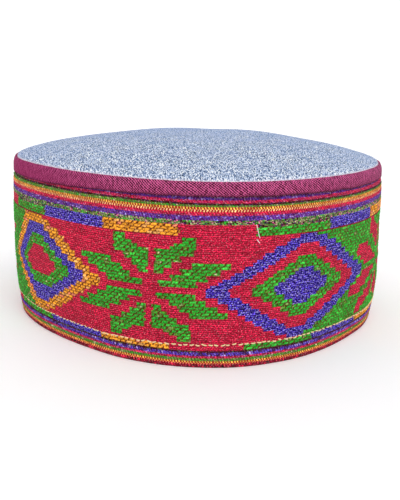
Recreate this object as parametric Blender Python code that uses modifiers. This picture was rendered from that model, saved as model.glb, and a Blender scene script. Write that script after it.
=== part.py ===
"""Kullu cap: a round, stiff-walled wool cap with a woven band and a taped top edge.

Metres, +Z up. The cap stands on its rim at z = 0 with its front facing -Y, and the
origin is at the middle of its footprint. Every piece is one turned section, pressed
a little out of round in plan as a sewn cloth cap is.
"""
import math

import bpy
import numpy as np

# Driving dimensions
HEAD_CIRCUMFERENCE = 0.568
BODY_CLOTH = 0.0020
BAND_CLOTH = 0.0020
BAND_CLOTH_UNDER_BINDING = 0.0010
BINDING_CLOTH = 0.0011
SEWING_GAP = 0.0003
WALL_HEIGHT = 0.0760
SEAM_HEIGHT = 0.0811
SEAM_INSET = 0.0026
DOME_RISE = 0.0129
DOME_POWER = 2.6
BINDING_EDGE_HEIGHT = 0.0742
BAND_PRESSED_BELOW_BINDING = 0.0006
BAND_PRESSING_TAPER = 0.0020

# The wall bulges: its radius is greatest at BULGE_HEIGHT and falls off as a square
BULGE_HEIGHT = 0.0336
RIM_TUCK = 0.0025
TOP_TUCK = 0.0011

# How the plan departs from a circle, as shares of the radius
PLAN_WAVES = (
    # lobes, cosine share, sine share
    (2, -0.0079, -0.0181),
    (3, -0.0060, 0.0057),
    (4, 0.0194, 0.0023),
)

# Fineness of the faceted surfaces
PLAN_STEPS = 64
WALL_POINTS = 7
SHOULDER_STEPS = 5
DOME_POINTS = 9
CENTRING_STEPS = 1440
SMOOTH_UP_TO_DEGREES = 45
MERGE_DISTANCE = 0.00001

# Shares of the shoulder's curve, from the top of the wall to the crown's seam
CLOTH_TOP_SHARE = 0.4
CROWN_FOOT_SHARE = 0.6

# Shares of the dome's radius, from the crown's seam to the middle
DOME_FULL_SHARE = 0.012
DOME_DIP_SHARE = 0.0045

# Depths below the outer outline at which each layer of cloth lies
WALL_OUTER_DEPTH = BAND_CLOTH + SEWING_GAP
WALL_INNER_DEPTH = WALL_OUTER_DEPTH + BODY_CLOTH
BAND_PRESSED_DEPTH = BAND_CLOTH - BAND_CLOTH_UNDER_BINDING
BINDING_INNER_DEPTH = BAND_PRESSED_DEPTH - SEWING_GAP
CROWN_EDGE_DEPTH = BINDING_CLOTH + SEWING_GAP

RIM_RADIUS = HEAD_CIRCUMFERENCE / (2 * math.pi) + WALL_INNER_DEPTH
BULGE_RADIUS = RIM_RADIUS + RIM_TUCK
WALL_TOP_RADIUS = BULGE_RADIUS - TOP_TUCK
SEAM_RADIUS = WALL_TOP_RADIUS - SEAM_INSET
DOME_EDGE_SLOPE = DOME_RISE * DOME_POWER / SEAM_RADIUS

# Colours are linear red, green and blue
TWEED = {"colour": (0.43, 0.50, 0.64), "roughness": 0.95}
WOVEN_BAND = {"colour": (0.56, 0.03, 0.08), "roughness": 0.85}
TWILL_TAPE = {"colour": (0.34, 0.05, 0.15), "roughness": 0.75}


def wall_radius(height):
    """Outer radius of the wall at a height between the rim and the shoulder."""
    below = max(0.0, (BULGE_HEIGHT - height) / BULGE_HEIGHT)
    above = max(0.0, (height - BULGE_HEIGHT) / (WALL_HEIGHT - BULGE_HEIGHT))
    return BULGE_RADIUS - RIM_TUCK * below ** 2 - TOP_TUCK * above ** 2


def shoulder_point(share):
    """Rounded shoulder: share 0 is the top of the wall, 1 is the crown's seam."""
    start = np.array([WALL_TOP_RADIUS, WALL_HEIGHT])
    corner = np.array([WALL_TOP_RADIUS, SEAM_HEIGHT - DOME_EDGE_SLOPE * SEAM_INSET])
    end = np.array([SEAM_RADIUS, SEAM_HEIGHT])
    return (1 - share) ** 2 * start + 2 * share * (1 - share) * corner + share ** 2 * end


def dome_point(share):
    """Top of the cap: share 0 is the seam, 1 is the middle."""
    radius = SEAM_RADIUS * (1 - share)
    height = SEAM_HEIGHT + DOME_RISE * (1 - (1 - share) ** DOME_POWER)
    return np.array([radius, height])


def in_wall(height, depth):
    """A point in the wall, level with the outline's point at that height, so the rim is flat."""
    return np.array([wall_radius(height) - depth, height])


def below(curve, share, depth):
    """A point at a depth below the shoulder or the dome, square to it."""
    step = 1e-5
    along = curve(share + step) - curve(share - step)
    inward = np.array([-along[1], along[0]]) / np.linalg.norm(along)
    return curve(share) + depth * inward


def shoulder_shares(start, end):
    """Shares down the shoulder, the same ones in every layer so that gaps stay even."""
    steps = round((start - end) * SHOULDER_STEPS)
    return np.linspace(start, end, steps + 1)


def upright_section(outer_rows, inner_depth):
    """Closed section of a wall layer: rows of (height, depth) down the outside."""
    above_wall = shoulder_shares(CLOTH_TOP_SHARE, 0)[:-1]
    top_depth = outer_rows[0][1]
    outer = [below(shoulder_point, share, top_depth) for share in above_wall]
    outer += [in_wall(height, depth) for height, depth in outer_rows]
    inner = [in_wall(height, inner_depth) for height, _ in reversed(outer_rows)]
    inner += [below(shoulder_point, share, inner_depth) for share in reversed(above_wall)]
    return outer + inner


def side_wall_section():
    heights = np.linspace(WALL_HEIGHT, 0, WALL_POINTS)
    return upright_section([(height, WALL_OUTER_DEPTH) for height in heights], WALL_INNER_DEPTH)


def band_section():
    """The woven border, pressed thinner where the binding covers it."""
    pressed_to = BINDING_EDGE_HEIGHT - BAND_PRESSED_BELOW_BINDING
    full_from = pressed_to - BAND_PRESSING_TAPER
    pressed = [(WALL_HEIGHT, BAND_PRESSED_DEPTH), (pressed_to, BAND_PRESSED_DEPTH)]
    full = [(height, 0.0) for height in np.linspace(full_from, 0, WALL_POINTS)]
    return upright_section(pressed + full, BAND_CLOTH)


def binding_section():
    """Closed section of the tape, from its edge on the crown down over the band."""
    shares = shoulder_shares(1, 0)
    under = np.interp(shares, (CLOTH_TOP_SHARE, 1), (BINDING_INNER_DEPTH, BINDING_CLOTH))
    outer = [
        below(shoulder_point, share, depth - BINDING_CLOTH)
        for share, depth in zip(shares, under)
    ]
    outer.append(in_wall(BINDING_EDGE_HEIGHT, BINDING_INNER_DEPTH - BINDING_CLOTH))
    inner = [in_wall(BINDING_EDGE_HEIGHT, BINDING_INNER_DEPTH)]
    inner += [
        below(shoulder_point, share, depth)
        for share, depth in zip(reversed(shares), reversed(under))
    ]
    return outer + inner


def crown_section():
    """Open section of the domed top, from the middle out to its edge and back."""
    dome_shares = np.append(np.linspace(1, 0, DOME_POINTS)[:-1], DOME_FULL_SHARE)
    edge_shares = shoulder_shares(1, CROWN_FOOT_SHARE)[1:]
    outer = [dome_point(share) for share in dome_shares]
    outer.append(below(dome_point, DOME_DIP_SHARE, CROWN_EDGE_DEPTH))
    outer += [below(shoulder_point, share, CROWN_EDGE_DEPTH) for share in edge_shares]
    under_depth = CROWN_EDGE_DEPTH + BODY_CLOTH
    inner = [below(shoulder_point, share, under_depth) for share in reversed(edge_shares)]
    inner += [below(dome_point, share, BODY_CLOTH) for share in dome_shares[:0:-1]]
    middle = dome_point(1) - [0, BODY_CLOTH]
    return outer + inner + [middle]


def plan_factor(angle):
    """Radius at an angle round the cap, as a share of the round cap's radius."""
    factor = 1.0
    for lobes, cosine, sine in PLAN_WAVES:
        factor += cosine * math.cos(lobes * angle) + sine * math.sin(lobes * angle)
    return factor


def plan_centre():
    """Middle of the pressed plan's box, which becomes the origin."""
    angles = np.linspace(0, 2 * math.pi, CENTRING_STEPS, endpoint=False)
    x = [BULGE_RADIUS * plan_factor(angle) * math.cos(angle) for angle in angles]
    y = [BULGE_RADIUS * plan_factor(angle) * math.sin(angle) for angle in angles]
    return (min(x) + max(x)) / 2, (min(y) + max(y)) / 2


def press_out_of_round(mesh):
    """Move a turned mesh's points to the cap's plan and over the origin."""
    centre_x, centre_y = plan_centre()
    for vertex in mesh.vertices:
        x, y, z = vertex.co
        factor = plan_factor(math.atan2(y, x))
        vertex.co = (x * factor - centre_x, y * factor - centre_y, z)


def make_material(name, look):
    material = bpy.data.materials.new(name)
    material.use_nodes = True
    shader = material.node_tree.nodes["Principled BSDF"]
    shader.inputs["Base Color"].default_value = (*look["colour"], 1.0)
    shader.inputs["Roughness"].default_value = look["roughness"]
    shader.inputs["Metallic"].default_value = 0.0
    return material


def turned_mesh(name, section, closed):
    """Turn a section about Z with the Screw modifier and return the result."""
    count = len(section)
    points = [(radius, 0.0, height) for radius, height in section]
    edges = [(index, index + 1) for index in range(count - 1)]
    if closed:
        edges.append((count - 1, 0))
    profile = bpy.data.meshes.new(name + "_profile")
    profile.from_pydata(points, edges, [])
    turning = bpy.data.objects.new(name + "_profile", profile)
    bpy.context.scene.collection.objects.link(turning)
    screw = turning.modifiers.new("turn", "SCREW")
    screw.axis = "Z"
    screw.steps = PLAN_STEPS
    screw.render_steps = PLAN_STEPS
    screw.use_merge_vertices = True
    screw.merge_threshold = MERGE_DISTANCE
    graph = bpy.context.evaluated_depsgraph_get()
    mesh = bpy.data.meshes.new_from_object(turning.evaluated_get(graph))
    bpy.data.objects.remove(turning)
    bpy.data.meshes.remove(profile)
    return mesh


def make_piece(name, section, closed, material, cap, collection):
    mesh = turned_mesh(name, section, closed)
    mesh.name = name
    press_out_of_round(mesh)
    mesh.materials.clear()
    mesh.materials.append(material)
    mesh.shade_smooth()
    mesh.set_sharp_from_angle(angle=math.radians(SMOOTH_UP_TO_DEGREES))
    piece = bpy.data.objects.new(name, mesh)
    piece.parent = cap
    collection.objects.link(piece)


def build_cap():
    for old in list(bpy.data.objects):
        bpy.data.objects.remove(old)
    collection = bpy.data.collections.new("kullu_cap")
    bpy.context.scene.collection.children.link(collection)
    cap = bpy.data.objects.new("kullu_cap", None)
    collection.objects.link(cap)

    tweed = make_material("grey_tweed", TWEED)
    woven = make_material("woven_border", WOVEN_BAND)
    twill = make_material("maroon_twill", TWILL_TAPE)
    make_piece("crown", crown_section(), False, tweed, cap, collection)
    make_piece("side_wall", side_wall_section(), True, tweed, cap, collection)
    make_piece("band", band_section(), True, woven, cap, collection)
    make_piece("top_binding", binding_section(), True, twill, cap, collection)


build_cap()
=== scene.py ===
"""Looks of the kullu cap: woven border, tweed top, twill tape, sewing and studio.

Lengths in the tables are millimetres. "Along" is the distance round the cap from the
middle of its front, to the right seen from the front, and "up" is the height above the rim.
"""
import math

import bpy
import numpy as np
from mathutils import Matrix, Vector


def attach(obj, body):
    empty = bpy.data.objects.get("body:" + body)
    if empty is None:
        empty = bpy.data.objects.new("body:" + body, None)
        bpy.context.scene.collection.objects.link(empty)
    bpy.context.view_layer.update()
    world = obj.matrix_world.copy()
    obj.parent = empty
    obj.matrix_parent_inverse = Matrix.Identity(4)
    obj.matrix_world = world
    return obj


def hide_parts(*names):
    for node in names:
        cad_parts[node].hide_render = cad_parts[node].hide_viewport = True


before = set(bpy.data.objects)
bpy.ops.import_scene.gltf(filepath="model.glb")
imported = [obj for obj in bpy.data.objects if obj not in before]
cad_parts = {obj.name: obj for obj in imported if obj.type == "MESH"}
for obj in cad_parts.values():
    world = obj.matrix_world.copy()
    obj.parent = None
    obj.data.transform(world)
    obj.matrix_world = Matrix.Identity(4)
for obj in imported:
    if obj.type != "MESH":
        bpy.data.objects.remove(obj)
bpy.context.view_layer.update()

MM = 0.001

# Camera, at the photograph's height, distance and tilt
CAMERA_PLACE = (0.000616, -0.388192, 0.123056)
CAMERA_PITCH = 0.237943
CAMERA_YAW = 0.004618
CAMERA_ROLL = 0.018836
CAMERA_LENS = 51.893
CAMERA_NEAREST = 0.01

# Layers of cloth, as depths below the outline
BAND_CLOTH = 2.0
BAND_PRESSED = 1.0
WALL_OUTER_DEPTH = 2.3
WALL_INNER_DEPTH = 4.3
TAPE_OUTER_DEPTH = 0.05
TAPE_CLOTH = 0.85
BODY_CLOTH = 2.0

# The cap's outline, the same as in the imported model
HEAD_ROUND = 568
BULGE_HEIGHT = 33.6
WALL_HEIGHT = 76.0
SEAM_HEIGHT = 81.1
SEAM_INSET = 2.6
DOME_RISE = 12.9
DOME_POWER = 2.6
RIM_TUCK = 2.5
TOP_TUCK = 1.1
BULGE_RADIUS = HEAD_ROUND / (2 * math.pi) + WALL_INNER_DEPTH + RIM_TUCK
WALL_TOP_RADIUS = BULGE_RADIUS - TOP_TUCK
SEAM_RADIUS = WALL_TOP_RADIUS - SEAM_INSET
DOME_EDGE_SLOPE = DOME_RISE * DOME_POWER / SEAM_RADIUS
PLAN_WAVES = (
    # lobes, cosine share, sine share
    (2, -0.0079, -0.0181),
    (3, -0.0060, 0.0057),
    (4, 0.0194, 0.0023),
)
TURN_STEPS = 7200

# Yarn colours, as red, green and blue from 0 to 255
YARNS = {
    "red": (232, 34, 76), "magenta": (208, 44, 100), "wine": (140, 16, 46), "pink": (220, 100, 150),
    "green": (20, 168, 44), "leaf": (52, 196, 62), "moss": (86, 142, 38), "olive": (112, 146, 72),
    "teal": (44, 112, 96), "blue": (88, 58, 236), "bar blue": (104, 74, 252), "navy": (40, 30, 96),
    "indigo": (74, 50, 184), "purple": (96, 42, 152), "lilac": (172, 146, 228),
    "yellow": (248, 164, 44), "gold": (255, 206, 82), "apricot": (252, 182, 96),
    "shell": (255, 206, 142), "salmon": (250, 142, 104), "sand": (190, 184, 140),
    "black": (24, 14, 18),
}

RANDOM_SEED = 7
rng = np.random.default_rng(RANDOM_SEED)
normal = rng.standard_normal


def linear(colour):
    """Scene-linear colour of a 0 to 255 screen colour."""
    share = np.array(colour, float) / 255
    return np.where(share <= 0.04045, share / 12.92, ((share + 0.055) / 1.055) ** 2.4)


def paint(colour):
    """The same with full opacity, for a material."""
    return (*linear(tuple(colour)), 1.0)


def outline_xy(angle, radius=BULGE_RADIUS):
    factor = np.ones_like(angle)
    for lobes, cosine, sine in PLAN_WAVES:
        factor = factor + cosine * np.cos(lobes * angle) + sine * np.sin(lobes * angle)
    return radius * factor * np.cos(angle), radius * factor * np.sin(angle)


FULL_TURN = np.linspace(-math.pi, math.pi, TURN_STEPS + 1) - math.pi / 2
TURN_X, TURN_Y = outline_xy(FULL_TURN)
CENTRE_X = (TURN_X.min() + TURN_X.max()) / 2
CENTRE_Y = (TURN_Y.min() + TURN_Y.max()) / 2
TURN_ALONG = np.concatenate([[0], np.cumsum(np.hypot(np.diff(TURN_X), np.diff(TURN_Y)))])
ROUND = TURN_ALONG[-1]
TURN_ALONG -= np.interp(-math.pi / 2, FULL_TURN, TURN_ALONG)
BACK = TURN_ALONG[0]


def angle_at(along):
    return np.interp(along, TURN_ALONG, FULL_TURN)


def wall_radius(up):
    under = np.maximum(0, (BULGE_HEIGHT - up) / BULGE_HEIGHT)
    over = np.maximum(0, (up - BULGE_HEIGHT) / (WALL_HEIGHT - BULGE_HEIGHT))
    return BULGE_RADIUS - RIM_TUCK * under ** 2 - TOP_TUCK * over ** 2


def bend(share, start, corner, end):
    """A smooth bend from start to end, drawn towards a corner."""
    return (1 - share) ** 2 * start + 2 * share * (1 - share) * corner + share ** 2 * end


def shoulder_point(share):
    """Rounded shoulder: share 0 is the top of the wall, 1 is the crown's seam."""
    corner = SEAM_HEIGHT - DOME_EDGE_SLOPE * SEAM_INSET
    radius = bend(share, WALL_TOP_RADIUS, WALL_TOP_RADIUS, SEAM_RADIUS)
    return radius, bend(share, WALL_HEIGHT, corner, SEAM_HEIGHT)


def below_shoulder(share, depth):
    """Points at a depth below the shoulder, square to it."""
    step = 1e-4
    radius, up = shoulder_point(share)
    run, rise = np.subtract(shoulder_point(share + step), shoulder_point(share - step))
    length = np.hypot(run, rise)
    return radius - depth * rise / length, up + depth * run / length


# The cloth isn't perfectly smooth: broad shallow waves, as whole turns round the cap,
# turns up its height, size in millimetres and phase
CLOTH_WAVES = (
    (3, 0.7, 0.22, 0.4),
    (5, 1.1, 0.20, 2.1),
    (8, 0.5, 0.14, 4.0),
    (13, 1.7, 0.09, 1.2),
    (21, 0.9, 0.06, 5.1),
)


def unevenness(angle, up):
    wave = np.zeros(np.broadcast(angle, up).shape)
    for turns, rises, size, phase in CLOTH_WAVES:
        wave = wave + size * np.sin(turns * angle + phase + 2 * math.pi * rises * up / WALL_HEIGHT)
    return wave


def place(radius, up, along):
    """Points in metres from radii and heights before the plan is pressed out of round."""
    x, y = outline_xy(angle_at(along), radius)
    return np.stack(np.broadcast_arrays(x - CENTRE_X, y - CENTRE_Y, up), axis=-1) * MM


def add_object(name, data):
    made = bpy.data.objects.new(name, data)
    bpy.context.scene.collection.objects.link(made)
    return made


def columns(count):
    """Distances along for the corners of a number of columns all the way round."""
    return BACK + ROUND * np.arange(count + 1) / count


def grid_faces(rows, count, closed):
    """Corner points of a grid's faces as [row, column, 4]; the columns go all the way round."""
    face_rows = rows if closed else rows - 1
    row, column = np.meshgrid(np.arange(face_rows), np.arange(count), indexing="ij")
    above, right = (row + 1) % rows, (column + 1) % count
    return np.stack(
        [row * count + column, row * count + right, above * count + right, above * count + column], -1
    )


def grid_piece(name, points, maps=(), closed=False, poles=(None, None)):
    """A mesh of quads from points[row, column], with a fan to a pole at either end.

    maps gives a name and the map's places [row, column, 4, 2] at the corners of the quads.
    """
    rows, count = points.shape[:2]
    vertices = points.reshape(-1, 3)
    faces = grid_faces(rows, count, closed).reshape(-1, 4).tolist()
    left = np.arange(count)
    right = (left + 1) % count
    last = (rows - 1) * count
    fans = ((poles[0], right, left), (poles[1], last + left, last + right))
    for pole, first_side, second_side in fans:
        if pole is not None:
            faces += np.stack([first_side, second_side, np.full(count, len(vertices))], -1).tolist()
            vertices = np.vstack([vertices, pole])
    mesh = bpy.data.meshes.new(name)
    mesh.from_pydata(vertices, [], faces)
    for map_name, corners in maps:
        values = np.zeros((len(mesh.loops), 2))
        values[: corners.size // 2] = corners.reshape(-1, 2)
        mesh.uv_layers.new(name=map_name).data.foreach_set("uv", values.ravel())
    mesh.shade_smooth()
    return add_object(name, mesh)


def cell_map(left, right, low, high):
    """A map's places at the four corners of every cell, from the cell's sides."""
    left, right, low, high = np.broadcast_arrays(left, right, low, high)
    corners = ((left, low), (right, low), (right, high), (left, high))
    return np.stack([np.stack(corner, -1) for corner in corners], axis=2)


# Free space in a strip map, in millimetres: under a strip, beside the strips and round a row
STRIP_MARGIN, SIDE_MARGIN, ROW_MARGIN = 0.5, 2.0, 0.1


def strip_map(shown, low, high, count, strips, pitch):
    """A bake map that fills its square: rows to see in strips, laid one over the other.

    shown tells which rows of faces are seen, low and high are their sides in millimetres.
    The other rows are packed beside the strips.
    """
    side = strips * pitch
    column = np.arange(count)
    strip = column * strips // count
    left = (column + strip * -count // strips) * ROUND / count
    row_height = side / np.sum(~shown)
    packed = (np.cumsum(~shown) - 1)[:, None] * row_height
    beside = ROUND / strips + SIDE_MARGIN
    spare = (side - beside - SIDE_MARGIN / 2) / count
    seen = shown[:, None]
    foot = strip * pitch + STRIP_MARGIN
    return cell_map(
        np.where(seen, left, beside + spare * column),
        np.where(seen, left + ROUND / count, beside + spare * (column + 1)),
        np.where(seen, foot + low[:, None], packed + ROW_MARGIN),
        np.where(seen, foot + high[:, None], packed + row_height - ROW_MARGIN),
    ) / side


def corner_values(piece, name, values):
    """Four values for each corner, from an array [face, 4, 4]."""
    layer = piece.data.color_attributes.new(name, "FLOAT_COLOR", "CORNER")
    layer.data.foreach_set("color", values.ravel())


def point_values(piece, name, values):
    layer = piece.data.attributes.new(name, "FLOAT", "POINT")
    layer.data.foreach_set("value", values.ravel())


# A soft noise seldom leaves this range
NOISE_LOW, NOISE_HIGH = 0.3, 0.7


class Value:
    """A number, colour or place in a material. Signs between values make its nodes."""

    def __init__(self, look, socket):
        self.look, self.socket = look, socket

    def __add__(self, other):
        return self.look.math("ADD", self, other)

    def __sub__(self, other):
        return self.look.math("SUBTRACT", self, other)

    def __mul__(self, other):
        return self.look.math("MULTIPLY", self, other)

    def __truediv__(self, other):
        return self.look.math("DIVIDE", self, other)

    def __abs__(self):
        return self.look.math("ABSOLUTE", self)

    def span(self, low, high, to_low=0.0, to_high=1.0):
        """The value's place from low to high, as a place from to_low to to_high."""
        return self.look.node("MapRange", enumerate((self, low, high, to_low, to_high)))[0]

    def wander(self, reach):
        """How far something wanders with this noise, either way."""
        return self.span(NOISE_LOW, NOISE_HIGH, -reach, reach)


class Look:
    """Short calls for building one material's nodes."""

    def __init__(self, name, roughness, gloss=0.2, sheen=0.0):
        self.material = bpy.data.materials.new(name)
        self.material.use_nodes = True
        self.tree = self.material.node_tree
        self.surface({"Roughness": roughness, "Specular IOR Level": gloss, "Sheen Weight": sheen})

    def surface(self, values):
        for name, value in values.items():
            self.feed(self.tree.nodes["Principled BSDF"].inputs[name], value)

    def feed(self, socket, value):
        if isinstance(value, Value):
            self.tree.links.new(value.socket, socket)
        else:
            socket.default_value = value

    def node(self, kind, inputs=(), **settings):
        """Make a node and give its outputs."""
        made = self.tree.nodes.new("ShaderNode" + kind)
        for key, value in settings.items():
            setattr(made, key, value)
        for key, value in dict(inputs).items():
            self.feed(made.inputs[key], value)
        return [Value(self, socket) for socket in made.outputs]

    def math(self, operation, *values):
        return self.node("Math", enumerate(values), operation=operation)[0]

    def blend(self, share, first, second):
        """Between two numbers."""
        return self.node("Mix", {0: share, 2: first, 3: second}, data_type="FLOAT")[0]

    def mix(self, share, first, second):
        """Between two colours, of which the second is a screen colour or a value."""
        second = paint(second) if isinstance(second, tuple) else second
        return self.node("Mix", {0: share, 6: first, 7: second}, data_type="RGBA")[2]

    def scaled(self, vector, factor):
        return self.node("VectorMath", {0: vector, "Scale": factor}, operation="SCALE")[0]

    def noise(self, spot, scale, detail=2.0, roughness=0.5):
        inputs = {"Vector": spot, "Scale": scale, "Detail": detail, "Roughness": roughness}
        return self.node("TexNoise", inputs)[0]

    def stored(self, name):
        """A value stored in the mesh, as a colour, a place, a number and its fourth part."""
        return self.node("Attribute", attribute_name=name)

    def cloth(self):
        """The cloth map in millimetres: along, and up or, on the tape, on from its lower edge."""
        return self.node("UVMap", uv_map="cloth")[0]

    def object_place(self):
        return self.node("TexCoord")[3]

    def split(self, vector):
        return self.node("SeparateXYZ", {0: vector})

    def turned(self, spot, degrees, stretch):
        """A place turned in the cloth and squeezed across, for strokes of yarn."""
        turn, scale = (0, 0, math.radians(degrees)), (stretch, 1, 1)
        return self.node("Mapping", {"Vector": spot, "Rotation": turn, "Scale": scale})[0]

    def strokes(self, phase, sharp=1.0):
        """A wave from 0 to 1 over a phase in turns; a sharp one stays longer at each end."""
        return self.math("SINE", phase * (2 * math.pi)).span(-1 / sharp, 1 / sharp)

    def finish(self, colour, height, depth):
        bump = self.node("Bump", {"Height": height, "Distance": depth * MM, "Strength": 1.0})
        self.surface({"Base Color": colour, "Normal": bump[0]})
        return self.material


# Camera
camera = add_object("camera", bpy.data.cameras.new("camera"))
camera.matrix_world = (
    Matrix.Translation(CAMERA_PLACE)
    @ Matrix.Rotation(-CAMERA_YAW, 4, "Z")
    @ Matrix.Rotation(math.pi / 2 - CAMERA_PITCH, 4, "X")
    @ Matrix.Rotation(CAMERA_ROLL, 4, "Z")
)
camera.data.lens = CAMERA_LENS
camera.data.clip_start = CAMERA_NEAREST
bpy.context.scene.camera = camera

# The woven border's rows from its foot upwards: up to, wefts, what is woven there
BORDER_FOOT = 0.3
BORDER_ROWS = (
    (1.8, 1, "wine"),
    (3.3, 1, "low zigzag"),
    (4.7, 1, "moss"),
    (5.8, 1, "magenta"),
    (7.4, 1, "indigo"),
    (8.3, 1, "black"),
    (10.95, 2, "low bars"),
    (11.45, 1, "edge line"),
    (12.05, 1, "field"),
    (57.95, 34, "field"),
    (58.55, 1, "edge line"),
    (63.4, 4, "high bars"),
    (65.3, 2, "olive"),
    (67.3, 2, "purple"),
    (68.1, 1, "magenta"),
    (68.9, 1, "red"),
    (70.9, 1, "zigzag"),
    (72.1, 1, "moss"),
    (72.9, 1, "black"),
    (73.4, 1, "over line"),
    (74.0, 1, "magenta"),
    (75.4, 1, "purple"),
)

# The bars' colours in turn, and where each bar of the two rows ends, along
BAR_COLOURS = ("red", "green", "bar blue", "yellow")
LOW_BARS = (
    -269, -231, -193, -155, -118, -82, -46, -11.5, 21.5, 57.5, 94, 131, 168, 205, 242, 279, 310
)
HIGH_BARS = (
    -269, -231, -193, -155, -117, -83.5, -44, -7.5, 25.5, 65, 103, 141, 178, 215, 252, 289, 310
)
# Over the top dark line the cloth is green up to here, along, and magenta from here on
GREEN_OVER_LINE = -112
# The green bars of the higher row are lower than the others
GREEN_BAR_TOP = 62.1

# The field between the bars: stepped diamonds and stars, in rows 2.7 high
FIELD_MIDDLE = 35.0
FIELD_ROW = 2.7
STEP = 4.75
# How much of a step lies between its lower and its upper weft
STEP_SLANT = 0.36
# A diamond's rings from the middle out: half width, rows from the middle
RINGS = ((14.3, 3), (24.8, 5), (34.6, 7), (44.8, 9))
# The outermost ring is fuller than its even steps, by this much in each row
FULLER = (0.0, -0.5, -0.5, -0.3, 0.3, 1.2, 1.35, -0.2, -2.4)
# The narrower left half of the front left diamond: half width, step a row, rows
NARROW_RINGS = ((13.0, 3.3, 3), (17.5, 2.8, 5), (24.0, 2.65, 7), (28.5, 2.2, 9))
BLUE_DIAMOND = ("blue", "green", "red", "blue")
RED_DIAMOND = ("red", "green", "blue", "yellow")
DIAMONDS = (
    # along, lean, colours from the middle out
    (-230, 0.0, BLUE_DIAMOND),
    (-90.5, -0.04, RED_DIAMOND),
    (49.3, 0.12, BLUE_DIAMOND),
    (188, 0.05, RED_DIAMOND),
    (328, 0.0, BLUE_DIAMOND),
)
NARROW_DIAMOND = 1
NARROW_LEAN = -0.14
# Its two inner rings are a row shorter below the middle
SHORT_RINGS = 2
STARS = (
    # along, lean, petals, field, how far its flat petals reach at most
    (-300, 0.0, "green", "red", 35),
    (-160, 0.05, "red", "green", 35),
    (-20.2, 0.05, "green", "red", 35),
    (117.3, 0.29, "red", "green", 29),
    (258, 0.05, "green", "red", 35),
)
# The flat petals to the left of a star's middle are this much longer, as a share
LEFT_PETAL_SHARE = 0.93
# A star's petals in one quarter: up from the middle, up to, from, to
FLAT_PETAL = (
    (1.8, 4.5, 3.5, 20.0), (4.5, 7.2, 9.0, 24.5), (7.2, 9.9, 13.0, 30.0), (9.9, 12.6, 18.0, 34.5)
)
STEEP_PETAL = (
    (6.5, 9.2, 1.5, 5.8), (9.2, 11.9, 1.5, 8.8), (11.9, 14.6, 1.5, 13.0), (14.6, 17.3, 1.5, 18.5),
    (17.3, 18.6, 7.5, 19.0), (18.6, 20.0, 9.5, 19.0), (20.0, 23.0, 13.0, 19.0)
)


def star_at(along):
    return min(STARS, key=lambda star: abs(along - star[0]))


def field_colour(along, up):
    """What the field shows at a point: diamonds over stars over the ground."""
    rise = up - FIELD_MIDDLE
    row = int(abs(rise) // FIELD_ROW)
    slant = STEP_SLANT * (abs(rise) / FIELD_ROW - row - 0.5)
    for index, (middle, lean, colours) in enumerate(DIAMONDS):
        across = along - middle - lean * rise
        narrow = index == NARROW_DIAMOND and along < middle
        if narrow:
            across = along - middle - NARROW_LEAN * rise
        for ring, colour in enumerate(colours):
            half, rows = RINGS[ring]
            step = STEP
            if narrow:
                half, step, rows = NARROW_RINGS[ring]
            if ring == len(RINGS) - 1 and not narrow:
                half += FULLER[min(row, len(FULLER) - 1)]
            if index == NARROW_DIAMOND and ring < SHORT_RINGS and rise < 0:
                rows -= 1
            if row < rows and abs(across) < half - step * (row + slant):
                return colour
    middle, lean, petals, field, reach = star_at(along)
    across = along - middle - lean * rise
    flat_across = -across * LEFT_PETAL_SHARE if across < 0 else across
    for petal, place_across in ((FLAT_PETAL, flat_across), (STEEP_PETAL, abs(across))):
        for low, high, start, end in petal:
            if low <= abs(rise) < high and start <= place_across < min(end, reach):
                return petals
    return field


def bar_colour(bars, along):
    number = min(np.searchsorted(bars, along, side="right"), len(bars) - 1)
    return BAR_COLOURS[number % len(BAR_COLOURS)]


# Weaving the border as a grid of small faces. Two floats of yarn lie over seven columns,
# and each weft's floats start two columns further on than those of the weft below
BORDER_COLUMNS = 707
FLOATS_REPEAT = 7
FLOAT_LENGTHS = (3, 4)
WEFT_LEAN = 2
WEFT_SHIFT = 0.5
FLOAT_RISE = 0.36
GROUND_RISE = 0.12
STRIPE_RISE = 0.24
GROOVE_RISE = -0.25
FLOAT_START_RISE = 0.08
GROUND_DEPTH = 0.22
FLOATING_YARNS = ("green", "yellow")
# How uneven the weave is, by its normal spread
WEFT_DRIFT = 0.15
FLOAT_TONE = 0.14
STRIPE_UNEVEN = 0.25
GROUND_UNEVEN = 0.03
LEAST_TONE, MOST_TONE = 0.45, 1.6
# How dark the painted shade in the hollows is, from 0 to 1
GROOVE_SHADE = 0.5
STRIPE_SHADE = 0.2
FLOAT_END_SHADE = 0.75
FLOAT_SHADE = 0.5
# Where a stripe's stitches start, in turns, and how they slant
STITCH_START = 0.37
STITCH_SLANT = -0.42
ZIGZAG_STARTS = (0.0, 0.5)
ZIGZAG_SLANTS = (0.25, -0.25)
# How uneven each yarn's tone is from face to face
TONES = {
    "blue": 0.16, "bar blue": 0.14, "purple": 0.17, "olive": 0.26, "green": 0.10, "yellow": 0.08,
    "gold": 0.10, "shell": 0.10, "salmon": 0.10,
}
PLAIN_TONE = 0.13
SPECKS = {
    # Other yarns seen among a yarn, face by face, with the share of each
    "blue": (("bar blue", 0.2), ("lilac", 0.03)),
    "indigo": (("navy", 0.25), ("lilac", 0.10)),
    "bar blue": (("blue", 0.25), ("lilac", 0.03)),
    "olive": (("navy", 0.15), ("sand", 0.18), ("pink", 0.06), ("green", 0.24), ("black", 0.14)),
    "purple": (("navy", 0.08), ("lilac", 0.07), ("indigo", 0.15)),
    "magenta": (("red", 0.25), ("pink", 0.05), ("wine", 0.15)),
    "black": (("navy", 0.15), ("olive", 0.05), ("teal", 0.10)),
    "moss": (("olive", 0.25), ("green", 0.25), ("sand", 0.05)),
    "wine": (("black", 0.12), ("red", 0.18)),
}
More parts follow.
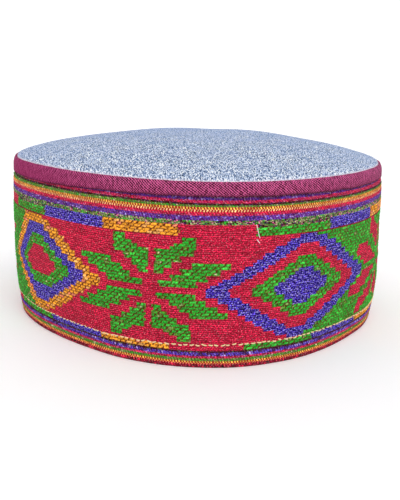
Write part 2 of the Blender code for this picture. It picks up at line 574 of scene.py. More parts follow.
# The two yarns of each zigzag, the lower one first
ZIGZAGS = {"zigzag": ("shell", "gold"), "low zigzag": ("salmon", "gold")}
FLOAT_SPECKS = {
    # The same, float by float
    "green": (("leaf", 0.22), ("moss", 0.10)),
    "yellow": (("apricot", 0.20), ("salmon", 0.08)),
}
# The dark line over the top green stripe lies lower to the right of the middle. The tables
# give its share of the drop by up and by along
LINE_DROP = 0.5
DROP_UP = ((70.9, 72.1, 72.9, 74.0), (0, 1, 1, 0.8))
DROP_ALONG = ((-30, 10, 150, 200), (0, 1, 1, 0))
TAPE_EDGE = (
    # along, up
    (-306, 74.6), (-130, 73.6), (-90, 73.5), (-50, 74.5), (-10, 75.0),
    (45, 75.0), (90, 74.5), (150, 74.6), (306, 74.6),
)
# The edge is a little wavy from the sewing: size and lengths of two waves
EDGE_WAVE, EDGE_WAVE_LENGTH, EDGE_SWELL_LENGTH = 0.12, 3.1, 17.0
EDGE_RIPPLE, EDGE_RIPPLE_LENGTH = 0.08, 1.9


def tape_edge(along):
    """Height of the tape's lower edge."""
    edge = np.interp(along, *np.array(TAPE_EDGE).T)
    wave = np.sin(along / EDGE_WAVE_LENGTH) * np.sin(along / EDGE_SWELL_LENGTH)
    return edge + EDGE_WAVE * wave + EDGE_RIPPLE * np.sin(along / EDGE_RIPPLE_LENGTH + 1)


def weave_border():
    """Heights of the border's rows of points, and its wefts as low, high and what is woven."""
    low, heights, wefts = BORDER_FOOT, [BORDER_FOOT], []
    for high, count, woven in BORDER_ROWS:
        for weft in range(count):
            start = low + (high - low) * weft / count
            end = low + (high - low) * (weft + 1) / count
            heights += [(start + end) / 2, end]
            wefts.append((start, end, woven))
        low = high
    return np.array(heights), wefts


def with_specks(names, table, draw):
    """Swap a share of the yarns for the odd ones seen among them."""
    out = list(names)
    for index, name in enumerate(names):
        level = 0.0
        for other, share in table.get(name, ()):
            level += share
            if draw[index] < level:
                out[index] = other
                break
    return out


def woven_at(woven, along, up):
    """The yarn shown at a point."""
    if woven == "field":
        return field_colour(along, up)
    if woven == "low bars":
        return bar_colour(LOW_BARS, along)
    if woven == "high bars":
        name = bar_colour(HIGH_BARS, along)
        return "olive" if name == "green" and up > GREEN_BAR_TOP else name
    if woven == "over line":
        return "moss" if along < GREEN_OVER_LINE else "magenta"
    if woven == "edge line":
        return "wine" if star_at(along)[3] == "green" else "red"
    return woven


def make_border():
    """The border's outside: heights, places along, rise and shade of its points, and its yarn.

    Yarn is a face's colour and whether it is in a stripe. Thread is, at each corner, how far the
    float's start and end are, the place across the weft and whether the yarn floats. In a stripe
    these are its stitches' start and slant, the same place, and whether it is a zigzag.
    """
    heights, wefts = weave_border()
    count = BORDER_COLUMNS
    along = columns(count)
    centres = (along[:-1] + along[1:]) / 2
    width = ROUND / count
    rises = np.zeros((len(heights), count))
    painted_shade = np.ones((len(heights), count))
    yarn = np.zeros((len(wefts) * 2, count, 4))
    thread = np.zeros((len(wefts) * 2, count, 4, 4))
    colour_of = {name: linear(colour) for name, colour in YARNS.items()}
    column = np.arange(count)
    for number, (low, high, woven) in enumerate(wefts):
        stripe = woven not in ("field", "low bars", "high bars", "edge line")
        phase = (column - WEFT_LEAN * number) % FLOATS_REPEAT
        in_second = phase >= FLOAT_LENGTHS[0]
        offset = np.where(in_second, phase - FLOAT_LENGTHS[0], phase)
        length = np.where(in_second, FLOAT_LENGTHS[1], FLOAT_LENGTHS[0])
        starts = (column - offset) % count
        shifted = centres + WEFT_SHIFT * (number % 2 - 0.5) + WEFT_DRIFT * normal()
        names = [woven_at(woven, place_along, (low + high) / 2) for place_along in shifted]
        proud = np.array([not stripe and name in FLOATING_YARNS for name in names])
        float_names = with_specks(names, FLOAT_SPECKS, rng.random(count)[starts])
        float_tone = (1 + FLOAT_TONE * normal(count))[starts]
        for half in (0, 1):
            shown = float_names
            if woven in ZIGZAGS:
                shown = [ZIGZAGS[woven][half]] * count
            shown = with_specks(shown, SPECKS, rng.random(count))
            face_row = 2 * number + half
            uneven = np.array([TONES.get(name, PLAIN_TONE) for name in shown])
            tone = np.clip((1 + uneven * normal(count)) * float_tone, LEAST_TONE, MOST_TONE)
            yarn[face_row, :, :3] = np.array([colour_of[name] for name in shown]) * tone[:, None]
            yarn[face_row, :, 3] = stripe
            thread[face_row, :, :, 3] = proud[:, None]
            for corner, (right, top) in enumerate(((0, 0), (1, 0), (1, 1), (0, 1))):
                thread[face_row, :, corner, 0] = (offset + right) * width
                thread[face_row, :, corner, 1] = (length - offset - right) * width
                thread[face_row, :, corner, 2] = half - 1 + top
            if woven in ZIGZAGS:
                thread[face_row, :, :, 0] = ZIGZAG_STARTS[half]
                thread[face_row, :, :, 1] = ZIGZAG_SLANTS[half]
                thread[face_row, :, :, 3] = 1
            elif stripe:
                thread[face_row, :, :, 0] = STITCH_START * number
                thread[face_row, :, :, 1] = STITCH_SLANT
        centre_row = 2 * number + 1
        if stripe:
            groove = woven == "black"
            rise = STRIPE_RISE * (1 + STRIPE_UNEVEN * normal(count))
            rises[centre_row] = GROOVE_RISE if groove else rise
            painted_shade[centre_row] = GROOVE_SHADE if groove else 0.0
            painted_shade[2 * number] = STRIPE_SHADE
        else:
            floating = proud & np.roll(proud, 1)
            edge = proud != np.roll(proud, 1)
            ground = GROUND_RISE * ((column + number) % 2)
            ground = ground + GROUND_UNEVEN * normal(count)
            raised = np.where(offset > 0, FLOAT_RISE, FLOAT_START_RISE)
            rises[centre_row] = np.where(floating, raised, ground)
            painted_shade[centre_row] = np.where(edge, FLOAT_END_SHADE, 0.0)
            painted_shade[2 * number] = np.where(proud | np.roll(proud, 1), FLOAT_SHADE, 0.0)
    return heights, along, rises, painted_shade, yarn, thread


JOIN_DEPTH, JOIN_WIDTH = 0.7, 0.9


def sewn_join(along):
    """How deep the upright join at the back is, along."""
    gap = np.minimum(np.abs(along - BACK), np.abs(along - BACK - ROUND))
    return JOIN_DEPTH * np.exp(-(gap / JOIN_WIDTH) ** 2)


def line_drop(along, up):
    """How far the rows round the top dark line lie below their usual height."""
    return LINE_DROP * np.interp(up, *DROP_UP) * np.interp(along, *DROP_ALONG)


# The cloth is rounded off below this height: for the border, up and depth below the outline
RIM_TOP = 0.6
BORDER_RIM = ((0.2, 1.8), (0.0, 1.4), (0.0, 0.7), (0.1, 0.35))
# The tape presses the border flat: from below its edge, over this width, by this share
PRESS_START, PRESS_WIDTH, PRESS_RELIEF = 2.4, 1.8, 0.7
# The tape's shade on the border: from below its edge, over this width, at most
SHADE_START, SHADE_WIDTH, SHADE_MOST = 0.6, 0.8, 0.95
# The border's top under the tape: shares of the shoulder, depth of the outer side
BORDER_TOP_SHARES = np.array([0.0, 0.2, 0.4])
BORDER_TOP_DEPTH = BAND_PRESSED + 0.2
BORDER_INNER_ROWS = 8
BORDER_STRIPS, BORDER_PITCH = 3, 79.0


def border_piece():
    heights, along, rises, painted_shade, yarn, thread = make_border()
    here = along[:-1]
    angle = angle_at(here)
    up = heights[:, None] - line_drop(here, heights[:, None])
    pressed = np.clip((up - tape_edge(here) + PRESS_START) / PRESS_WIDTH, 0, 1)
    pressed = BAND_PRESSED * pressed * pressed * (3 - 2 * pressed)
    depth = GROUND_DEPTH - rises * (1 - PRESS_RELIEF * pressed) + pressed + sewn_join(here)
    outer = place(wall_radius(up) - depth + unevenness(angle, up), up, here)
    top = np.stack(below_shoulder(BORDER_TOP_SHARES, BORDER_TOP_DEPTH), -1)
    inner_top = np.stack(below_shoulder(BORDER_TOP_SHARES[::-1], BAND_CLOTH), -1)
    down = np.linspace(WALL_HEIGHT, RIM_TOP, BORDER_INNER_ROWS)
    inner = np.stack([wall_radius(down) - BAND_CLOTH, down], -1)
    rim_up, rim_depth = np.array(BORDER_RIM).T
    rim = np.stack([wall_radius(rim_up) - rim_depth, rim_up], -1)
    rest = np.concatenate([top, inner_top, inner, rim])
    rest_radius = rest[:, :1] + unevenness(angle, rest[:, 1:])
    points = np.concatenate([outer, place(rest_radius, rest[:, 1:], here)])
    level = np.concatenate([heights, rest[:, 1]])
    above = np.roll(level, -1)
    cloth = cell_map(along[:-1], along[1:], level[:, None], above[:, None])
    shown = np.arange(len(level)) < len(heights) - 1
    bake = strip_map(shown, level, above, BORDER_COLUMNS, BORDER_STRIPS, BORDER_PITCH)
    piece = grid_piece("woven_border", points, (("cloth", cloth), ("OFBake", bake)), closed=True)
    colours = np.zeros((len(points), BORDER_COLUMNS, 4))
    colours[:] = paint(YARNS["magenta"])
    colours[-len(rim):] = paint(YARNS["wine"])
    colours[: len(yarn)] = yarn
    corner_values(piece, "yarn", np.repeat(colours.reshape(-1, 1, 4), 4, axis=1))
    floats = np.zeros((len(points), BORDER_COLUMNS, 4, 4))
    floats[: len(thread)] = thread
    corner_values(piece, "thread", floats)
    # Painted shade at each point, kept in the mesh: in the weave's hollows, and the tape's shadow just
    # below its edge
    hollow = np.zeros((len(points), BORDER_COLUMNS))
    under_tape = (heights[:, None] - tape_edge(here) + SHADE_START) / SHADE_WIDTH
    hollow[: len(heights)] = np.maximum(painted_shade, np.minimum(under_tape, SHADE_MOST))
    point_values(piece, "painted_shade", hollow)
    return piece


# The border's noises: size, detail, roughness
GRAIN = (1.25, 2.0, 0.75)
STREAK = (1.0, 2.0, 0.6)
WOBBLE = (0.9, 2.0)
FADING = (0.045, 2.0)
SPECKLE = (1.2, 1.0, 0.6)
FLUFF_HIGHLIGHT = (1.15, 2.0, 0.7)
# Their turn in degrees and stretch
STREAK_TURN = (38, 3.0)
FLUFF_HIGHLIGHT_TURN = (35, 1.8)
# How the gaps between floats lean, and how far the noise shifts gaps, sides and stitches
GAP_LEAN = 0.45
GAP_WANDER, SIDE_WANDER = 0.45, -0.3
ROW_WANDER, STITCH_WANDER, SLANT_WANDER = 0.35, 0.5, 0.12
# Sizes of rows and stitches, in millimetres
GROUND_ROW, GROUND_STITCH, STRIPE_STITCH = 0.9, 1.2, 1.3
GROUND_SHARPNESS, STRIPE_SHARPNESS = 1.2, 2.0
CHAIN_FULLNESS = 0.32
# Spans: from, to, and what these two become
GAP_DEPTH = (0.18, 0.58, 1, 0)
SIDE_DEPTH = (0.45, 1.05, 0, 0.9)
STITCH_DEPTH = (0, 1, 0.35, 1)
GROUND_HOLLOW = (0.05, 0.7, 0.84, 0)
BLUISH = (0.2, 0.45)
BLUISH_IN_STRIPES = (0, 1, 1, 0.35)
BLUE_HOLLOW = (0.42, 0.50, 1, 0)
BLUE_SHINE = (0.54, 0.64)
CHAIN_HOLLOW = (0, 1, 0.68, 1.0)
CHAIN_RED = (0, 1, 0.20, 1.0)
GRAIN_TONE = (0.34, 0.66, 0.40, 1.75)
FADED_TONE = (NOISE_LOW, NOISE_HIGH, 0.94, 1.06)
STREAK_TONE = (0.34, 0.66, 0.75, 1.25)
FLUFF_HIGHLIGHT_SHARE = (0.56, 0.66, 0, 0.40)
FLUFF_HIGHLIGHT_ON_FLOATS = (0, 1, 1, 0.5)
CAUGHT_SHARE = (0.56, 0.64, 0, 0.8)
CAUGHT_CREVICE = (0.55, 0.75)
# Colours of fluff with painted highlight, painted shine, painted shade in the hollows and caught lint,
# and how bright that painted shade is
FLUFF_HIGHLIGHT_COLOUR = (255, 200, 208)
SHINE_COLOUR = (190, 180, 255)
CHAIN_DEEP = (168, 4, 30)
BLUE_DEEP = (18, 8, 66)
CAUGHT_COLOUR = (236, 196, 180)
DEEP_SHARE = 0.10


def woven_border_material():
    look = Look("woven_border", 0.88, gloss=0.12)
    cloth = look.cloth()
    along, up, _ = look.split(cloth)
    yarn, _, _, stripe = look.stored("yarn")
    thread, _, _, floating = look.stored("thread")
    painted_shade = look.stored("painted_shade")[2]
    from_start, to_end, across = look.split(thread)
    grain = look.noise(cloth, *GRAIN)
    streak = look.noise(look.turned(cloth, *STREAK_TURN), *STREAK)
    wobble = look.noise(cloth, *WOBBLE)

    # The gaps between floats lean to the right as they rise
    lean = across * GAP_LEAN
    near = look.math("MINIMUM", abs(from_start - lean), abs(to_end + lean))
    gap = (near + wobble.wander(GAP_WANDER)).span(*GAP_DEPTH)
    side = (abs(across) + wobble.wander(SIDE_WANDER)).span(*SIDE_DEPTH)
    float_hollow = look.math("MAXIMUM", gap, side)

    # The ground is a plain weave: short stitches in rows, each row half a stitch along
    row = up / GROUND_ROW + wobble.wander(ROW_WANDER)
    stagger = look.math("FLOOR", row + 0.25) * 0.5
    stitch = along / GROUND_STITCH + stagger + wobble.wander(STITCH_WANDER)
    stitch_wave = look.strokes(stitch, GROUND_SHARPNESS).span(*STITCH_DEPTH)
    plain = look.strokes(row, GROUND_SHARPNESS) * stitch_wave
    _, green_part, blue_part = look.split(yarn)
    bluish = (blue_part - green_part).span(*BLUISH) * stripe.span(*BLUISH_IN_STRIPES)
    speckle = look.noise(cloth, *SPECKLE)
    blue_hollow = bluish * speckle.span(*BLUE_HOLLOW)
    ground_hollow = look.math("MAXIMUM", plain.span(*GROUND_HOLLOW), blue_hollow)

    # Stripes are slanted stitches, here with their start and slant
    slant = along / STRIPE_STITCH - across * to_end + from_start + wobble.wander(SLANT_WANDER)
    chained = stripe * floating
    wave = look.strokes(slant, STRIPE_SHARPNESS) - chained * CHAIN_FULLNESS
    stripe_hollow = wave.span(0.05, 0.75, chained.span(*CHAIN_HOLLOW), 0)
    hollow = look.blend(stripe, look.blend(floating, ground_hollow, float_hollow), stripe_hollow)
    # The hollows also take the painted shade kept in the mesh
    hollow = look.math("MAXIMUM", hollow, painted_shade)

    fading = look.noise(cloth, *FADING).span(*FADED_TONE)
    tone = grain.span(*GRAIN_TONE) * fading * streak.span(*STREAK_TONE)
    # Pale fluff as painted highlight on the yarn's fuzz, less of it on floats
    fluff_highlight = look.noise(look.turned(cloth, *FLUFF_HIGHLIGHT_TURN), *FLUFF_HIGHLIGHT).span(*FLUFF_HIGHLIGHT_SHARE)
    fluff_highlight = fluff_highlight * floating.span(*FLUFF_HIGHLIGHT_ON_FLOATS)
    colour = look.mix(fluff_highlight, look.scaled(yarn, tone), FLUFF_HIGHLIGHT_COLOUR)
    colour = look.mix(bluish * speckle.span(*BLUE_SHINE), colour, SHINE_COLOUR)
    deep = look.mix(chained.span(*CHAIN_RED), look.scaled(colour, DEEP_SHARE), CHAIN_DEEP)
    # Painted shade in the hollows: a dark copy of the colour with a little red, navy in blue yarn, all
    # red in the zigzags' gaps
    colour = look.mix(hollow, colour, look.mix(bluish, deep, BLUE_DEEP))
    # Pale fluff caught where one yarn ends and the next begins
    caught = painted_shade.span(*CAUGHT_CREVICE) * streak.span(*CAUGHT_SHARE)
    colour = look.mix(caught, colour, CAUGHT_COLOUR)
    return look.finish(colour, grain * 0.7 - hollow * 0.8, 0.28)


# The tweed: its flecks in two slants, its hair, its worn patches and painted shade towards the back
FLECK = (0.80, 2.0, 0.65)
FLECK_SLANT, FLECK_STRETCH = 34, 2.5
FLECK_SPOTS = (0.45, 1.0)
HAIR = (2.0, 2.0, 0.7)
PATCHES = (0.12, 2.0)
TWEED_RANGE = (0.448, 0.552)
# The tweed's colours from dark to pale, evenly spaced
TWEED_RAMP = (
    (34, 58, 90), (104, 130, 168), (157, 180, 223), (213, 230, 254), (255, 255, 252)
)
PATCH_WORN = (0.35, 0.65, 0, 0.2)
# Painted shade: darker and bluer towards the back of the cap
BACK_SHADE = (-70, 70, 0, 0.45)
WEAR_AND_SHADE_COLOUR = (134, 161, 216)
LINT_COLOUR = (248, 240, 250)
LINT_SHARE = 0.8


def tweed_material():
    look = Look("grey_tweed", 0.95, gloss=0.05)
    spot = look.scaled(look.object_place(), 1 / MM)
    rising = look.noise(look.turned(spot, FLECK_SLANT, FLECK_STRETCH), *FLECK)
    falling = look.noise(look.turned(spot, -FLECK_SLANT, FLECK_STRETCH), *FLECK)
    fleck = look.blend(look.noise(spot, *FLECK_SPOTS).span(0.46, 0.54), rising, falling)
    hair = look.noise(spot, *HAIR)
    ramp = look.tree.nodes.new("ShaderNodeValToRGB")
    look.feed(ramp.inputs[0], (fleck * 0.7 + hair * 0.3).span(*TWEED_RANGE))
    stops = ramp.color_ramp.elements
    stops.remove(stops[1])
    stops[0].color = paint(TWEED_RAMP[0])
    for number, tint in enumerate(TWEED_RAMP[1:], 1):
        stops.new(number / (len(TWEED_RAMP) - 1)).color = paint(tint)
    # Worn patches at random, and painted shade towards the back, mixed to one colour
    wear_and_shade = look.noise(spot, *PATCHES).span(*PATCH_WORN) + look.split(spot)[1].span(*BACK_SHADE)
    colour = look.mix(wear_and_shade, Value(look, ramp.outputs[0]), WEAR_AND_SHADE_COLOUR)
    colour = look.mix(look.stored("lint")[2] * LINT_SHARE, colour, LINT_COLOUR)
    return look.finish(colour, fleck * 0.8 + hair * 0.4, 0.5)


# The tape's two ribs, as turns for each millimetre along and up
FALLING_RIB, RISING_RIB = (0.706, 0.941), (0.78, -0.85)
RIB_NOISE, RIB_WOBBLE = (0.10, 2.0), 2.5
TWILL_GRAIN = (1.6, 2.0)
TWILL_STREAK, TWILL_TURN = (0.4, 3.0, 0.75), (40, 3.0)
STREAK_LEVEL = (0.35, 0.65, -0.22, 0.22)
TWILL_RANGE = (0.46, 0.80)
# The ribs' colours: painted shade between them and painted highlight on their crests
RIB_SHADE_COLOUR, RIB_HIGHLIGHT_COLOUR = (46, 0, 22), (238, 108, 168)
# Painted shade: the tape grows darker towards its lower edge
FOOT_SHADE_SHARE, FOOT_SHADE_COLOUR = (0, 6.5, 0.35, 0), (110, 10, 52)
# Painted shade right at the tape's lower edge: how much, and its colour
EDGE_SHADE_SHARE, EDGE_SHADE_COLOUR = 0.85, (34, 6, 30)
# Painted shade: the tape is darker and deeper in colour to the left of the front
LEFT_SHADE_SHARE, LEFT_SHADE_COLOUR = (-110, -30, 0.55, 0), (144, 0, 80)


def twill_material():
    look = Look("maroon_twill", 0.8, gloss=0.08)
    cloth = look.cloth()
    along, up, _ = look.split(cloth)
    wobble = look.noise(cloth, *RIB_NOISE) * RIB_WOBBLE
    ribs, cross = [
        look.strokes(along * run + up * rise + wobble) for run, rise in (FALLING_RIB, RISING_RIB)
    ]
    level = ribs * 0.5 + cross * 0.28 + look.noise(cloth, *TWILL_GRAIN) * 0.35
    level = level + look.noise(look.turned(cloth, *TWILL_TURN), *TWILL_STREAK).span(*STREAK_LEVEL)
    # Painted highlight and shade on the ribs, their tone also varied at random by the noise
    colour = look.mix(level.span(*TWILL_RANGE), paint(RIB_SHADE_COLOUR), RIB_HIGHLIGHT_COLOUR)
    # Painted shade towards the tape's lower edge
    colour = look.mix(up.span(*FOOT_SHADE_SHARE), colour, FOOT_SHADE_COLOUR)
    # Painted shade to the left of the front
    colour = look.mix(along.span(*LEFT_SHADE_SHARE), colour, LEFT_SHADE_COLOUR)
    # Painted shade along the tape's lower edge
    colour = look.mix(look.stored("painted_shade")[2] * EDGE_SHADE_SHARE, colour, EDGE_SHADE_COLOUR)
    return look.finish(colour, level, 0.3)


# A thread's noise for each metre, and its darker tone as a share of its colour
THREAD_GRAIN, THREAD_DARK = 2600.0, 0.88


def thread_material(name, colour):
    look = Look(name, 0.7, sheen=0.2)
    grain = look.noise(look.object_place(), THREAD_GRAIN)
    dark = paint(THREAD_DARK * value for value in colour)
    return look.finish(look.mix(grain, dark, colour), grain, 0.1)


TAPE_COLUMNS = 720
TAPE_ROLL = 0.45
# The tape's outer face turns in over the shoulder: its corner and its upper edge,
# as distance out from the wall's top and height
TAPE_CORNER = (-0.1, 81.0)
TAPE_END = (-1.9, 81.25)
# Rows of points over the rolled edge, up the wall and over the shoulder, as shares of each
EDGE_STEPS = np.array([0.0, 0.11, 0.33, 0.67, 1.0])
WALL_STEPS = np.array([0.33, 0.67, 1.0])
SHOULDER_SHARES = np.concatenate([np.linspace(0, 0.84, 11)[1:], [0.89, 0.93, 0.96, 0.985, 1.0]])
# The tape is crumpled: shares of its thickness, then lengths and shift of the wave
CRUMPLE, CRUMPLE_NOISE = 0.06, 0.036
CRUMPLE_LENGTH, CRUMPLE_SWELL, CRUMPLE_SHIFT = 2.3, 13.0, 0.8
LEAST_THICKNESS = 0.05
# Its lower edge is in shade up to here, fading with this power
EDGE_SHADE, EDGE_FADING = 1.3, 1.3
# On the cloth map its inner side lies this far off
INNER_OFFSET = 20
TAPE_STRIPS, TAPE_PITCH = 8, 10.5


def tape_face(edge):
    """The tape's outer face as radius and up, from its lower edge to its upper."""
    rolled = edge + TAPE_ROLL * EDGE_STEPS[:, None]
    flat = rolled[-1] + (WALL_HEIGHT - rolled[-1]) * WALL_STEPS[:, None]
    up = np.concatenate([rolled, flat])
    radius = wall_radius(up) - TAPE_OUTER_DEPTH
    share = SHOULDER_SHARES[:, None] * np.ones_like(edge)
    start = WALL_TOP_RADIUS - TAPE_OUTER_DEPTH
    over = bend(share, start, start + TAPE_CORNER[0], start + TAPE_END[0])
    over_up = bend(share, WALL_HEIGHT, TAPE_CORNER[1], TAPE_END[1])
    return np.concatenate([radius, over]), np.concatenate([up, over_up])


def tape_piece():
    along = columns(TAPE_COLUMNS)
    here = along[:-1]
    radius, up = tape_face(tape_edge(here))
    run = np.hypot(np.diff(radius, axis=0), np.diff(up, axis=0))
    travel = np.concatenate([np.zeros((1, len(here))), np.cumsum(run, axis=0)])
    turn_radius, turn_up = np.gradient(radius, axis=0), np.gradient(up, axis=0)
    length = np.hypot(turn_radius, turn_up)
    out_radius, out_up = turn_up / length, -turn_radius / length
    rounding = np.clip(np.minimum(travel, travel[-1] - travel) / TAPE_ROLL, 0, 1)
    thick = TAPE_CLOTH * np.maximum(np.sqrt(1 - (1 - rounding) ** 2), LEAST_THICKNESS)
    crumple = np.sin(here / CRUMPLE_LENGTH + CRUMPLE_SHIFT * travel) * np.sin(here / CRUMPLE_SWELL)
    thick = thick * (1 + CRUMPLE * crumple + CRUMPLE_NOISE * normal(len(here)))
    soft = unevenness(angle_at(here), np.minimum(up, WALL_HEIGHT))
    inner_radius, inner_up = radius - TAPE_CLOTH * out_radius, up - TAPE_CLOTH * out_up
    outer = place(inner_radius + out_radius * thick + soft, inner_up + out_up * thick, here)
    inner = place((inner_radius + soft)[::-1], inner_up[::-1], here)
    rows = len(travel)
    level = travel.mean(axis=1)
    level = np.concatenate([level, INNER_OFFSET + level[::-1]])
    above = np.roll(level, -1)
    above[[rows - 1, -1]] = level[[rows - 1, -1]] + ROW_MARGIN
    cloth = cell_map(along[:-1], along[1:], level[:, None], above[:, None])
    bake = strip_map(np.arange(2 * rows) < rows - 1, level, above, TAPE_COLUMNS, TAPE_STRIPS, TAPE_PITCH)
    maps = (("cloth", cloth), ("OFBake", bake))
    piece = grid_piece("top_tape", np.concatenate([outer, inner]), maps, closed=True)
    # Painted shade along the tape's lower edge, kept in the mesh
    painted_shade = np.clip(1 - travel / EDGE_SHADE, 0, 1) ** EDGE_FADING
    point_values(piece, "painted_shade", np.concatenate([painted_shade, np.ones_like(travel)]))
    return piece


CROWN_COLUMNS = 360
# Where the crown comes out from under the tape, in from the wall's top
CROWN_EDGE = 2.1
CROWN_RADIUS = WALL_TOP_RADIUS - CROWN_EDGE
# The cloth stands up in a lip beside the tape, and the dome is a little fuller towards its edge
LIP_RISE, LIP_WIDTH, LIP_REACH = 1.0, 0.6, 9.0
SWELL_RISE, SWELL_REACH = 0.55, 14.0


def crown_up(radius):
    inward = CROWN_RADIUS - radius
    dome = SEAM_HEIGHT + DOME_RISE * (1 - (radius / SEAM_RADIUS) ** DOME_POWER)
    lip = LIP_RISE * (1 - np.exp(-inward / LIP_WIDTH)) * np.exp(-inward / LIP_REACH)
    return dome + lip + SWELL_RISE * inward / SWELL_REACH * np.exp(1 - inward / SWELL_REACH)


# Rows of its underside and its top, from the middle out and from its edge in
CROWN_UNDER = np.linspace(2, CROWN_RADIUS - 4, 22)
CROWN_STEPS = np.append([0, 0.2, 0.45, 0.8, 1.3, 2.0, 2.8, 3.8], np.linspace(5, CROWN_RADIUS - 1.2, 76))
# Its edge is turned down under the tape: in from its edge, up
FOOT_INSIDE = ((2.8, 81.5), (2.4, 80.3), (2.25, 78.9))
FOOT_OUTSIDE = ((0.25, 78.8), (0.15, 79.8), (0.05, 80.5))
# The dome sags in two waves, all but close to the seam
SAG, FINE_SAG, SAG_START = 0.5, 0.25, 6
# Puckers beside the tape: size, length and swell over a full turn, reach, start
PUCKER, PUCKER_LENGTH, PUCKER_SWELL, PUCKER_REACH, PUCKER_START = 0.10, 1.5, 7.0, 5.0, 1.5
# Lint lies along the tape, this wide
LINT_WIDTH = 0.55
# The bake map: half of the crown's width in metres, and the map's shares for top and underside
CROWN_HALF = 0.0985
TOP_SHARE, UNDER_SHARE = 0.72, 0.27


def crown_piece():
    """The crown as one closed skin: its underside from the middle out, its foot and its top."""
    here = columns(CROWN_COLUMNS)[:-1]
    angle = angle_at(here)
    edge = CROWN_RADIUS
    section = [(radius, crown_up(radius) - BODY_CLOTH) for radius in CROWN_UNDER]
    section += [(edge - step, up) for step, up in FOOT_INSIDE]
    under_rows = len(section)
    section += [(edge - step, up) for step, up in FOOT_OUTSIDE]
    section += [(edge - step, crown_up(edge - step)) for step in CROWN_STEPS]
    radius, up = np.array(section).T[:, :, None]
    share = np.clip(radius / SEAM_RADIUS, 0, 1)
    side_wave = unevenness(angle, np.minimum(up, WALL_HEIGHT)) * share ** 3
    x, y = radius * np.cos(angle), radius * np.sin(angle)
    sag = SAG * np.sin(x / 21 + 0.6) * np.sin(y / 17 + 1.1) + FINE_SAG * np.sin(x / 9 - y / 13)
    sag = sag * np.clip((1 - share) * SAG_START, 0, 1)
    from_seam = np.maximum(edge - radius, 0)
    pucker = PUCKER * np.sin(here / PUCKER_LENGTH + np.sin(here / PUCKER_SWELL))
    pucker = pucker * np.exp(-(from_seam / PUCKER_REACH) ** 2) * np.clip(from_seam / PUCKER_START, 0, 1)
    points = place(radius + side_wave, up + sag + pucker, here)
    flat = points.reshape(-1, 3)[grid_faces(len(section), CROWN_COLUMNS, False)][..., :2]
    flat = flat / (2 * CROWN_HALF) + 0.5
    under_face = (np.arange(len(section) - 1) < under_rows - 1)[:, None, None, None]
    bake = np.where(under_face, UNDER_SHARE * flat + 1 - UNDER_SHARE, TOP_SHARE * flat)
    poles = (points[0].mean(axis=0), points[-1].mean(axis=0))
    piece = grid_piece("tweed_crown", points, (("OFBake", bake),), poles=poles)
    lint = np.zeros(len(piece.data.vertices))
    seen = np.clip(1 - from_seam[under_rows:, 0] / LINT_WIDTH, 0, 1)
    lint[under_rows * CROWN_COLUMNS: len(section) * CROWN_COLUMNS] = np.repeat(seen, CROWN_COLUMNS)
    point_values(piece, "lint", lint)
    return piece


WALL_COLUMNS, WALL_ROWS = 360, 40
WALL_TOP_SHARES = np.array([0.2, 0.4])
# Its outer face, which is hidden, has every sixth row only
HIDDEN_STEP = 6
# Its rounded lower edge: up, depth below the outline
WALL_RIM = ((0.2, 4.15), (0.0, 3.7), (0.0, 2.9), (0.2, 2.45))
WALL_STRIPS, WALL_PITCH = 3, 82.0


def inner_wall_piece():
    here = columns(WALL_COLUMNS)[:-1]
    rise = np.linspace(RIM_TOP, WALL_HEIGHT, WALL_ROWS)
    section = [(wall_radius(z) - WALL_OUTER_DEPTH, z) for z in rise[::HIDDEN_STEP]]
    section += list(zip(*below_shoulder(WALL_TOP_SHARES, WALL_OUTER_DEPTH)))
    hidden_rows = len(section)
    section += list(zip(*below_shoulder(WALL_TOP_SHARES[::-1], WALL_INNER_DEPTH)))
    section += [(wall_radius(z) - WALL_INNER_DEPTH, z) for z in rise[::-1]]
    section += [(wall_radius(0) - depth, z) for z, depth in WALL_RIM]
    section = np.array(section)
    radius = section[:, :1] + unevenness(angle_at(here), section[:, 1:])
    level = section[:, 1]
    shown = np.arange(len(section)) >= hidden_rows
    bake = strip_map(shown, level, np.roll(level, -1), WALL_COLUMNS, WALL_STRIPS, WALL_PITCH)
    return grid_piece("inner_wall", place(radius, section[:, 1:], here), (("OFBake", bake),), closed=True)


def thread_piece(name, paths, thickness, colour):
    """Lengths of thread as one mesh; a path has along, up and how proud of the outline."""
    curve = bpy.data.curves.new(name, "CURVE")
    curve.dimensions = "3D"
    curve.bevel_depth = thickness / 2 * MM
    curve.bevel_resolution = 1
    curve.resolution_u = 2
    curve.use_fill_caps = True
    for path in paths:
        spline = curve.splines.new("BEZIER")
        spline.bezier_points.add(len(path) - 1)
        for point, (along, up, proud) in zip(spline.bezier_points, path):
            point.co = place(wall_radius(up) + unevenness(angle_at(along), up) + proud, up, along)
            point.handle_left_type = point.handle_right_type = "AUTO"
    source = add_object(name + "_path", curve)
    graph = bpy.context.evaluated_depsgraph_get()
    mesh = bpy.data.meshes.new_from_object(source.evaluated_get(graph))
    mesh.name = name
    bpy.data.objects.remove(source)
    mesh.shade_smooth()
    mesh.materials.clear()
    mesh.materials.append(thread_material(name, colour))
    return add_object(name, mesh)


STITCH_PITCH = 2.7
STITCH_LENGTH = 1.7
STITCH_UP = 11.0
STITCH_THICKNESS = 0.62
STITCH_COLOUR = (255, 224, 168)
STITCH_PROUD = 0.02
STITCH_ENDS = -0.45
# How much their start and length, height and tilt vary, and how their line drifts
STITCH_UNEVEN, UP_UNEVEN, TILT_UNEVEN = 0.2, 0.12, 0.18
LINE_DRIFT, LINE_DRIFT_LENGTH = 0.25, 31
# Left of the front yellow bar the stitches are pulled in between the yarns
SUNK_FROM, SUNK_TO = -190, -47
STITCH_SUNK = -0.30


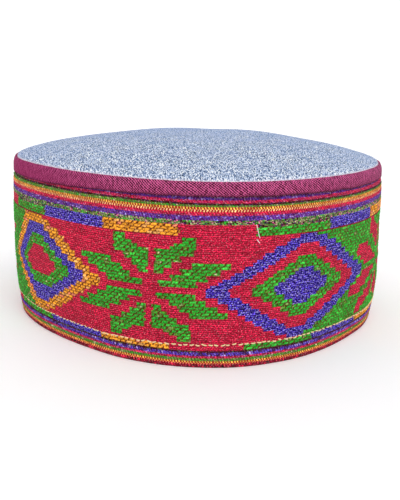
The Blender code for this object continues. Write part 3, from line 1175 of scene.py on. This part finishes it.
def stitch_paths():
    """Running stitches round the border, just over the lower bars."""
    count = int(ROUND / STITCH_PITCH)
    paths = []
    for index in range(count):
        start = BACK + ROUND * index / count + STITCH_UNEVEN * normal()
        drift = STITCH_UP + UP_UNEVEN * normal()
        drift += LINE_DRIFT * math.sin(start / LINE_DRIFT_LENGTH)
        length = STITCH_LENGTH + STITCH_UNEVEN * normal()
        tilt = TILT_UNEVEN * normal()
        proud = STITCH_SUNK if SUNK_FROM < start < SUNK_TO else STITCH_PROUD
        paths.append([
            (start, drift - tilt, STITCH_ENDS),
            (start + length * 0.3, drift - tilt * 0.4, proud),
            (start + length * 0.7, drift + tilt * 0.4, proud),
            (start + length, drift + tilt, STITCH_ENDS),
        ])
    return paths


# The stray thread lies in two bits by the upper green bar: along, up, how proud
STRAY_THICKNESS = 0.31
STRAY_COLOUR = (255, 240, 244)
STRAY_THREAD = (
    (24.8, 63.9, -0.1), (25.1, 62.6, 0.15), (25.5, 61.0, 0.2), (25.9, 59.4, 0.15), (26.6, 57.9, -0.2)
)
STRAY_END = ((25.3, 57.2, -0.2), (25.9, 56.4, 0.15), (26.6, 55.6, -0.1))

FLOOR_GLOW = 0.09
FLOOR_WHITE = (0.98, 0.98, 0.98, 1)
# The floor's flat part, and the bend that takes it up to its wall, in metres
FLOOR_REACH, BEND_START, BEND_SIZE, FLOOR_WALL_TOP = (0.5, 2.0), 2.4, 0.8, 1.6
FLOOR_COLUMNS, BEND_ROWS = 96, 12
WORLD_WHITE = (0.98, 0.985, 1.0, 1)
WORLD_STRENGTH = 0.76
SUN_STRENGTH = 1.08
SUN_ANGLE = 45
SUN_FROM = (0.35, -0.9, 0.9)


def make_stage():
    """A pale floor that curves up into a wall far away, even white surroundings and a soft sun."""
    turns = np.linspace(0, 2 * math.pi, FLOOR_COLUMNS, endpoint=False)
    curve = np.linspace(0, math.pi / 2, BEND_ROWS)
    reach = [*FLOOR_REACH, *(BEND_START + BEND_SIZE * np.sin(curve)), BEND_START + BEND_SIZE]
    rise = [0.0, 0.0, *(BEND_SIZE * (1 - np.cos(curve))), FLOOR_WALL_TOP]
    reach, rise = np.array([reach, rise])[:, ::-1, None]
    points = np.stack(np.broadcast_arrays(reach * np.cos(turns), reach * np.sin(turns), rise), -1)
    floor = grid_piece("floor", points, poles=(None, (0.0, 0.0, 0.0)))
    pale = Look("pale_floor", 0.9, gloss=0.1)
    pale.surface({
        "Base Color": FLOOR_WHITE, "Emission Color": (1, 1, 1, 1), "Emission Strength": FLOOR_GLOW
    })
    floor.data.materials.append(pale.material)
    world = bpy.data.worlds.new("studio")
    world.use_nodes = True
    background = world.node_tree.nodes["Background"].inputs
    background["Color"].default_value = WORLD_WHITE
    background["Strength"].default_value = WORLD_STRENGTH
    bpy.context.scene.world = world
    bpy.context.scene.view_settings.view_transform = "Standard"
    lamp = bpy.data.lights.new("key", "SUN")
    lamp.angle = math.radians(SUN_ANGLE)
    lamp.energy = SUN_STRENGTH
    turn = (-Vector(SUN_FROM)).to_track_quat("-Z", "Y")
    add_object("key", lamp).rotation_euler = turn.to_euler()


border = border_piece()
border.data.materials.append(woven_border_material())
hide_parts("band")

tweed = tweed_material()
crown = crown_piece()
crown.data.materials.append(tweed)
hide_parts("crown")

inner_wall = inner_wall_piece()
inner_wall.data.materials.append(tweed)
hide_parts("side_wall")

tape = tape_piece()
tape.data.materials.append(twill_material())
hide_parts("top_binding")

stitches = thread_piece("running_stitches", stitch_paths(), STITCH_THICKNESS, STITCH_COLOUR)
stray = thread_piece("stray_thread", (STRAY_THREAD, STRAY_END), STRAY_THICKNESS, STRAY_COLOUR)

for piece in (border, crown, inner_wall, tape, stitches, stray):
    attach(piece, "root")

make_stage()
